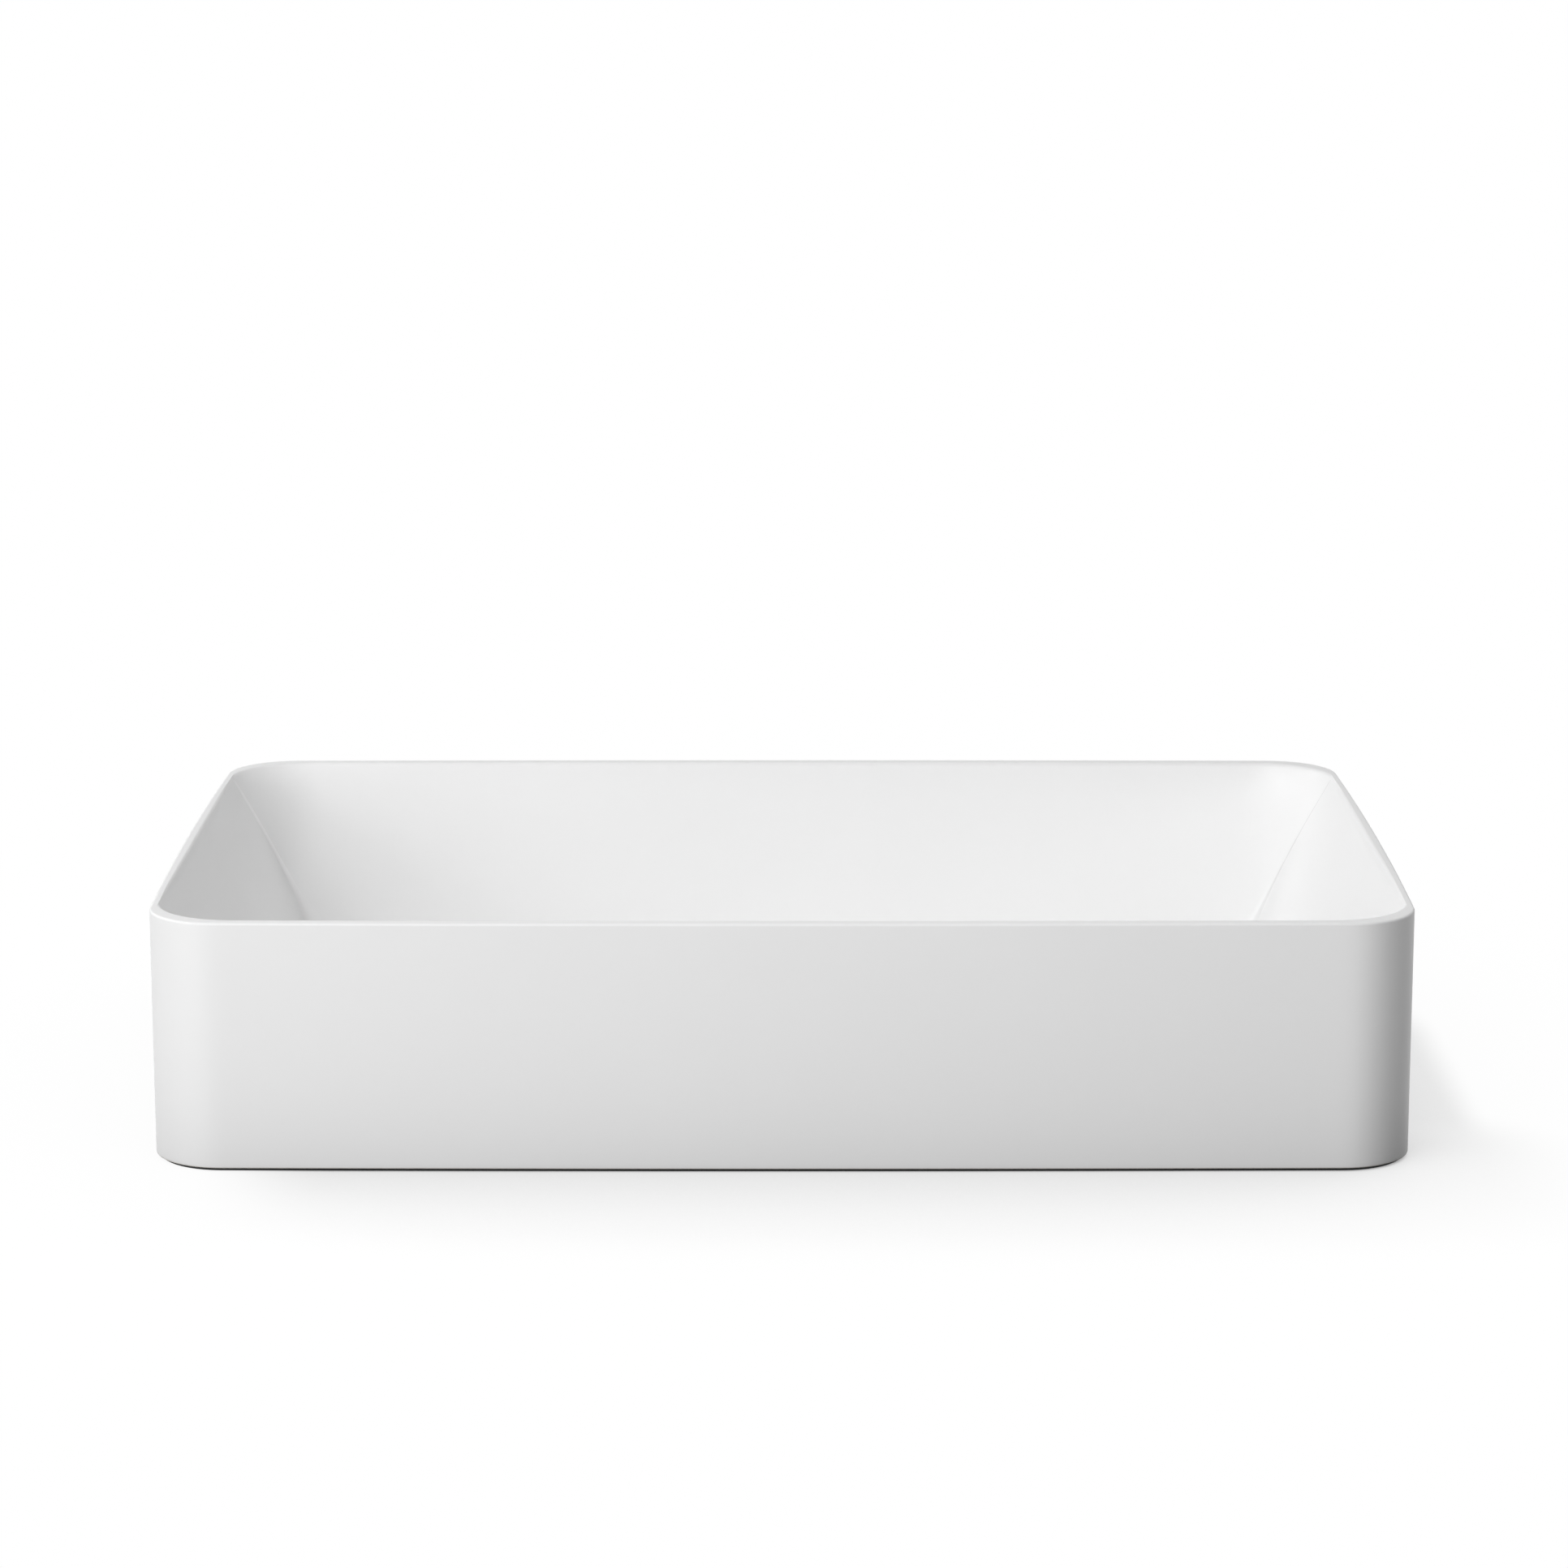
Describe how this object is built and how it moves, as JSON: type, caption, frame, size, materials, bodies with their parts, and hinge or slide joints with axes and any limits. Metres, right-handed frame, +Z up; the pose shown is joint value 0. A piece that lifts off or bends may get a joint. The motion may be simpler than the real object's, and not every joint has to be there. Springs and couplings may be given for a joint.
{
  "type": "countertop washbasin",
  "caption": "Rectangular countertop washbasin in white glazed ceramic with a thin rim, sloping end walls and a push-open waste",
  "frame": {"origin": "middle of the worktop face that the basin stands on, on the drain's axis", "axes": "+Z up, +X along the long side, the front faces -Y"},
  "size_m": [0.6, 0.3798, 0.18],
  "materials": {
    "glazed_ceramic": "smooth glossy white glaze",
    "bedding_rubber": "matt dark grey bedding strip",
    "chromed_brass": "polished chrome plate",
    "seal_rubber": "matt black rubber",
    "raw_brass": "turned brass",
    "cartridge_plastic": "moulded white acetal",
    "spring_steel": "drawn stainless steel"
  },
  "bodies": {
    "basin": {"basin_bowl": "glazed_ceramic", "bedding_gasket": "bedding_rubber", "waste_body": "chromed_brass", "flange_seal": "seal_rubber", "cone_seal": "seal_rubber", "back_nut": "raw_brass", "cartridge_sleeve": "cartridge_plastic", "latch_pin": "spring_steel", "return_spring": "spring_steel", "spring_seat": "cartridge_plastic"},
    "plug": {"plug_cap": "chromed_brass", "plug_seal": "seal_rubber", "plunger": "cartridge_plastic"},
    "latch": {"latch_lever": "spring_steel"}
  },
  "joints": [
    {"name": "plug_slide", "type": "slide", "parent": "basin", "child": "plug", "axis": [0, 0, 1], "range_m": [-0.0105, 0], "stiffness_N_per_m": 800, "springref_m": 0.01, "deforming": ["return_spring"]},
    {"name": "latch_swing", "type": "hinge", "parent": "basin", "child": "latch", "pos_m": [0, -0.0055, -0.0205], "axis": [0, 1, 0], "range_deg": [-10.7, 0]}
  ],
  "couplings": [
    {"joint": "latch_swing", "follows": "plug_slide", "rad_per_m": 17.68}
  ]
}
